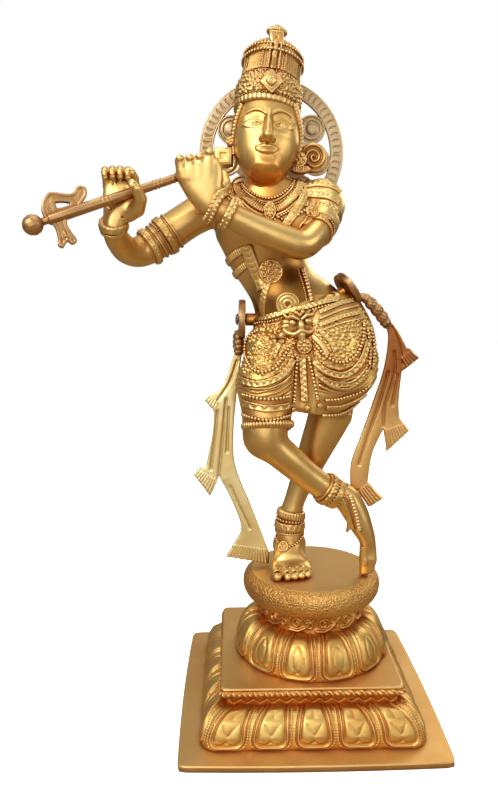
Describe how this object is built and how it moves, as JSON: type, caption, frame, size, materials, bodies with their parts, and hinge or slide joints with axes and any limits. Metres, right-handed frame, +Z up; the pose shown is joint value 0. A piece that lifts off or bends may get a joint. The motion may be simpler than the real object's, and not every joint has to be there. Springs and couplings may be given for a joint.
{
  "type": "krishna figure",
  "caption": "Brass figure of a crowned flute player standing cross-legged on a round seat and a square petalled plinth, with a ring halo and long sashes at the hips, for display.",
  "frame": {"origin": "middle of the plinth's flat underside", "axes": "+Z up, -Y towards the viewer the figure faces, +X to the viewer's right"},
  "size_m": [0.3388, 0.2328, 0.611],
  "materials": {
    "plinth_brass": "satin cast brass with orange-brown patina in the carving",
    "figure_brass": "satin yellow brass with brown patina in the recesses",
    "flute_brass": "dull brown brass",
    "pale_sash_brass": "pale lemon satin brass with dark stains",
    "coppery_sash_brass": "satin brass, coppery towards the top",
    "bolt_steel": "dark, stained"
  },
  "bodies": {
    "root": {"plinth": "plinth_brass", "figure": "figure_brass", "flute": "flute_brass", "halo": "figure_brass", "right_sash": "pale_sash_brass", "left_sash": "coppery_sash_brass", "right_bolt": "bolt_steel", "left_bolt": "bolt_steel"}
  },
  "joints": []
}
